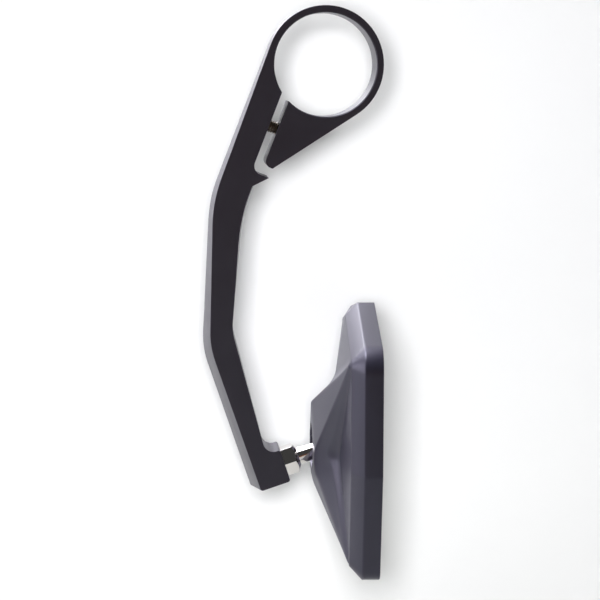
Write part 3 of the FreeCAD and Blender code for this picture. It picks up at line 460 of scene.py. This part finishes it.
def back_height(y, z):
    """Height of the housing's back, towards the rear, over a point of the glass plane."""
    mouth_end = -BOSS_BACK - MOUTH_TILT * max(MOUTH - y, 0.0)
    near = y < 0.0
    y = abs(y)
    shallow = soft_least(side_high(y, z), side_low(y, z), FOLD_SOFT)
    shallow = soft_least(shallow, roof(y, z), RIDGE_SOFT)
    if near:
        boss = soft_most(crescent_high(y, z), crescent_low(y, z), FOLD_SOFT)
        shoulder = soft_least(shoulder_flat(y, z), shoulder_top(y, z), RIDGE_SOFT)
        boss = soft_least(boss, shoulder, RIDGE_SOFT)
        step = soft_most(step_high(y, z), step_low(y, z), FOLD_SOFT)
        boss = soft_least(boss, step, STEP_SOFT)
    else:
        shallow = soft_least(shallow, far_roof(y, z), RIDGE_SOFT)
        boss = soft_most(far_flank(y, z), far_top(y, z), FAR_SOFT)
        boss = soft_least(boss, crescent_low(y, z), RIDGE_SOFT)
    boss = soft_least(boss, chin_side(y, z), RIDGE_SOFT)
    boss = soft_least(boss, mouth_end, RIDGE_SOFT)
    height = soft_most(boss, shallow, CREASE_SOFT if near else FAR_SOFT)
    height = soft_least(height, chin(y, z), RIDGE_SOFT)
    return height if near else height - FAR_LEAN * y


FACET_CORNER = 1.2
facet_edge = outline(FACET_INSET, FACET_CORNER)
angles = [math.atan2(point.y, point.x) for point in facet_edge]


def circle_ring(x, radius):
    """A round ring, its points at the same angles as the facets' outer edge."""
    return [Vector((x, radius * math.cos(angle), radius * math.sin(angle))) for angle in angles]


def mouth_ring(sunk, radius):
    """A ring inside the mouth's edge, sunk below the boss's end."""
    ring = circle_ring(0.0, radius)
    return [Vector((sunk - back_height(point.y, point.z), point.y, point.z)) for point in ring]


def outline_ring(x, inset, radius, lean=0.0):
    """A ring of the head's outline, which may lean towards the glass on the far side."""
    return [Vector((x + lean * max(point.x, 0.0), point.x, point.y))
            for point in outline(inset, radius)]


# The rings run out of the socket through the mouth, over the facets, the band and the rim, and
# back in over the ledge to the socket, so that the shell is closed. THROAT and LIP are the x and
# radius of a ring.
FACET_RINGS = 80
SEAT = 7.23
THROAT = (-2.6, 6.75)
LIP = (-4.6, 5.58)
EDGE_SOFT = 0.30
EDGE_PART = 0.3 * EDGE_SOFT
MOUTH_PART = 0.15 * MOUTH_EDGE
BAND_LIFT = 0.1
BAND_CORNER = 1.4
BAND_CORNER_OUT = 1.8
RIM_WALL = 1.8
LEDGE = 11.23
LEDGE_INSET = 5.3
INSIDE_BACK = 7.0
INSIDE_INSET = LEDGE_INSET + 1.0
INSIDE_CORNER = 1.2
SOCKET_WALL = 9.6
rings = [
    circle_ring(0.0, SEAT),
    circle_ring(*THROAT),
    circle_ring(*LIP),
    mouth_ring(MOUTH_EDGE, MOUTH),
    mouth_ring(MOUTH_PART, MOUTH + MOUTH_PART),
]
for step in range(FACET_RINGS):
    share = step / FACET_RINGS
    loop = []
    for angle, edge in zip(angles, facet_edge):
        mouth = Vector((math.cos(angle), math.sin(angle))) * (MOUTH + MOUTH_EDGE)
        place = mouth.lerp(edge, share)
        loop.append(Vector((-back_height(place.x, place.y), place.x, place.y)))
    rings.append(loop)
rings += [
    outline_ring(BAND_BACK, FACET_INSET, FACET_CORNER, FAR_LEAN),
    outline_ring(BAND_BACK + BAND_LIFT, BAND_INSET, BAND_CORNER, FAR_LEAN),
    outline_ring(BAND_BACK + EDGE_SOFT, BAND_INSET - EDGE_SOFT, BAND_CORNER_OUT, FAR_LEAN),
    outline_ring(RIM_BACK - EDGE_SOFT, EDGE_SOFT, CORNER - EDGE_SOFT),
    outline_ring(RIM_BACK - 0.2 * EDGE_SOFT, EDGE_PART, CORNER),
    outline_ring(RIM_BACK + 0.35 * EDGE_SOFT, 0.0, CORNER),
    outline_ring(RIM_BACK + 2 * EDGE_SOFT, 0.0, CORNER),
    outline_ring(RIM_FRONT - EDGE_SOFT, 0.0, CORNER),
    outline_ring(RIM_FRONT - EDGE_PART, EDGE_PART, CORNER - EDGE_PART),
    outline_ring(RIM_FRONT, EDGE_SOFT, CORNER - EDGE_SOFT),
    outline_ring(RIM_FRONT, RIM_WALL - EDGE_PART, CORNER - RIM_WALL),
    outline_ring(RIM_FRONT - EDGE_PART, RIM_WALL, CORNER - RIM_WALL),
    outline_ring(LEDGE, RIM_WALL, CORNER - RIM_WALL),
    outline_ring(LEDGE, LEDGE_INSET, INSIDE_CORNER),
    outline_ring(INSIDE_BACK, INSIDE_INSET, INSIDE_CORNER),
    circle_ring(INSIDE_BACK, SOCKET_WALL),
    circle_ring(INSIDE_BACK, SEAT),
    circle_ring(0.0, SEAT),
]
housing = wrap_grid("cast_housing", rings, HEAD)
COAT_DARK = (0.0240, 0.0222, 0.0355, 1.0)
COAT_LIGHT = (0.0290, 0.0270, 0.0420, 1.0)
COAT_TINT = (0.84, 0.82, 1.0, 1.0)
coated, shader, wire = new_finish("black_powder_coat", Specular_IOR_Level=0.58,
                                  Specular_Tint=COAT_TINT)
haze = wire.noise(60.0, 3.0)
grain = wire.noise(3800.0, 3.0, 0.6)
feed(shader,
     Base_Color=wire.blend(haze, COAT_DARK, COAT_LIGHT),
     Roughness=0.33 + grain * 0.08,
     Normal=wire.bump(grain, 0.22, 0.03 * MM))
dress(housing, coated)
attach(housing, "head")
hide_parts("mirror_housing")

# Foam tape: black closed-cell foam laid round the ledge, which the glass is pressed on.
# It is sticky on both faces and alone holds the glass.
FOAM_DARK = (0.014, 0.014, 0.014, 1.0)
FOAM_LIGHT = (0.028, 0.028, 0.028, 1.0)
foam, shader, wire = new_finish("black_foam_tape", Specular_IOR_Level=0.2)
cells = wire.noise(2600.0, 2.0)
feed(shader,
     Base_Color=wire.blend(cells, FOAM_DARK, FOAM_LIGHT),
     Roughness=0.85 + cells * 0.1)
dress(frame["nodes"]["glass_pad"], foam)

# Mirror glass: slightly convex glass, silvered at the back and cut to fit inside the rim. It shows
# as a bright mirror under a thin clear coat.
SILVER_COOL = (0.80, 0.83, 0.84, 1.0)
SILVER_PALE = (0.84, 0.86, 0.87, 1.0)
silver, shader, wire = new_finish("silvered_glass", Metallic=1.0, Coat_Weight=0.6, Coat_Roughness=0.01)
film = wire.noise(25.0, 2.0)
feed(shader,
     Base_Color=wire.blend(film, SILVER_COOL, SILVER_PALE),
     Roughness=0.012 + film * 0.012)
dress(frame["nodes"]["mirror_glass"], silver)

# Stage: a wall close behind the part and a floor below it, both of white paper that is seen from
# its front only. Away from the part the paper glows to the eye, so that it stays white in any view.
WALL_Y = 0.052
FLOOR_Z = -0.235
STAGE_HALF = 1.2
BLACK = (0.0, 0.0, 0.0, 1.0)
WHITE = (1.0, 1.0, 1.0, 1.0)
PAPER_COLOUR = (0.83, 0.84, 0.80, 1.0)
GLOSSY_SHARE = 0.35
GLOW_START = 0.25
GLOW_END = 0.80
GLOW = 0.80


def stage_sheet(name, place, turn):
    """A square sheet of the stage."""
    bpy.ops.object.select_all(action="DESELECT")
    bpy.ops.mesh.primitive_plane_add(size=2 * STAGE_HALF, location=place, rotation=turn)
    sheet = bpy.context.object
    sheet.name = name
    return sheet


wall = stage_sheet("white_wall", (0.0, WALL_Y, 0.0), (math.radians(90), 0.0, 0.0))
floor = stage_sheet("pale_floor", (0.0, 0.0, FLOOR_Z), (0.0, 0.0, 0.0))
paper, shader, wire = new_finish("white_paper", Roughness=0.9, Specular_IOR_Level=0.0,
                                 Base_Color=PAPER_COLOUR, Emission_Strength=1.0)
seen = wire.maths("MAXIMUM", wire.ray("Camera"), wire.ray("Transmission"))
seen = wire.maths("MAXIMUM", seen, wire.ray("Glossy") * GLOSSY_SHARE)
place = wire.add("ShaderNodeTexCoord", output="Object")
away = wire.add("ShaderNodeVectorMath", {"operation": "LENGTH"}, {0: place}, "Value")
glow = wire.ease(away, GLOW_START, GLOW_END, GLOW)
feed(shader, Emission_Color=wire.blend(seen * glow, BLACK, WHITE))
lit = Wire(paper.node_tree, shader.outputs[0])
clear = wire.add("ShaderNodeBsdfTransparent")
behind = wire.add("ShaderNodeNewGeometry", output="Backfacing")
sided = wire.add("ShaderNodeMixShader", {}, {0: behind, 1: lit, 2: clear})
paper.node_tree.links.new(sided.socket, paper.node_tree.nodes["Material Output"].inputs["Surface"])
for sheet in (wall, floor):
    dress(sheet, paper)

# World: white to the camera and nearly dark as light. Reflections show white behind the part, and
# a dark room in front of it with a brown lower half.
AMBIENT = (0.03, 0.03, 0.03, 1.0)
DARK_FRONT = (0.05, 0.05, 0.05, 1.0)
BROWN_LOW = (0.30, 0.13, 0.06, 1.0)
BROWN_HIGH = (0.26, 0.11, 0.05, 1.0)
BROWN_END = 0.54
DARK_START = 0.57
REAR_START = -0.28
REAR_END = 0.10
world = bpy.data.worlds.new("studio")
bpy.context.scene.world = world
world.use_nodes = True
tree = world.node_tree
wire = Wire(tree)
way = wire.add("ShaderNodeTexCoord", output="Generated")
heading = wire.add("ShaderNodeSeparateXYZ", {}, {"Vector": way}, "Y")
rise = wire.add("ShaderNodeSeparateXYZ", {}, {"Vector": way}, "Z")
room_stops = [(0.0, BROWN_LOW), (BROWN_END, BROWN_HIGH), (DARK_START, DARK_FRONT), (1.0, DARK_FRONT)]
room = wire.add("ShaderNodeValToRGB", {"stops": room_stops}, {"Fac": rise * 0.5 + 0.5})
mirrored = wire.blend(wire.ease(heading, REAR_START, REAR_END), room, WHITE)
bounced = wire.maths("MAXIMUM", wire.ray("Glossy"), wire.ray("Transmission"))
around = wire.blend(bounced, AMBIENT, mirrored)
backdrop = tree.nodes["Background"]
tree.links.new(wire.blend(wire.ray("Camera"), around, WHITE).socket, backdrop.inputs["Color"])
backdrop.inputs["Strength"].default_value = 1.0

# Lamps: four soft boxes above, behind and left of the part, which the wall doesn't block, and a
# small one in front that lights the wall alone and throws the part's soft shadow on it.
MIDDLE = (-0.01, 0.0, -0.07)
COOL = (0.94, 0.93, 1.0)


def soft_box(name, place, target, size, power, lights, blocked_by=None):
    """A square area lamp that looks at a target, and lights only what a collection holds."""
    lamp = bpy.data.lights.new(name, "AREA")
    lamp.shape = "SQUARE"
    lamp.size = size
    lamp.energy = power
    lamp.color = COOL
    holder = bpy.data.objects.new(name, lamp)
    bpy.context.scene.collection.objects.link(holder)
    holder.location = place
    holder.rotation_euler = (Vector(target) - Vector(place)).to_track_quat("-Z", "Y").to_euler()
    holder.light_linking.receiver_collection = lights
    holder.light_linking.blocker_collection = blocked_by


wall_only = bpy.data.collections.new("wall_only")
wall_only.objects.link(wall)
all_but_wall = bpy.data.collections.new("all_but_wall")
all_but_wall.objects.link(wall)
part_only = bpy.data.collections.new("part_only")
part_only.objects.link(wall)
part_only.objects.link(floor)
for group in (all_but_wall, part_only):
    for entry in group.collection_objects:
        entry.light_linking.link_state = "EXCLUDE"
soft_box("top_box", (-0.30, -0.06, 0.60), MIDDLE, 0.5, 6.6, all_but_wall, all_but_wall)
soft_box("sky_box", (-0.20, 0.16, 0.58), MIDDLE, 0.5, 6.0, part_only, part_only)
soft_box("rear_box", (-0.30, 0.42, 0.42), MIDDLE, 0.7, 9.5, part_only, part_only)
soft_box("left_box", (-0.75, -0.10, 0.05), MIDDLE, 0.4, 2.5, part_only, part_only)
soft_box("shadow_box", (-0.071, -0.50, 0.022), MIDDLE, 0.10, 3.55, wall_only)

# Camera: level with the clamp, turned a little to the right and looking slightly down, as in the
# photograph, through a long lens.
CAMERA_PLACE = (-0.05105, -0.49803, 0.00024)
LOOK_DOWN = 8.77
LOOK_RIGHT = 4.97
camera = bpy.data.objects.new("camera", bpy.data.cameras.new("camera"))
bpy.context.scene.collection.objects.link(camera)
camera.location = CAMERA_PLACE
camera.rotation_euler = (math.radians(90.0 - LOOK_DOWN), 0.0, math.radians(-LOOK_RIGHT))
camera.data.sensor_width = 36.0
camera.data.lens = 91.8
bpy.context.scene.camera = camera
bpy.context.scene.view_settings.view_transform = "Standard"
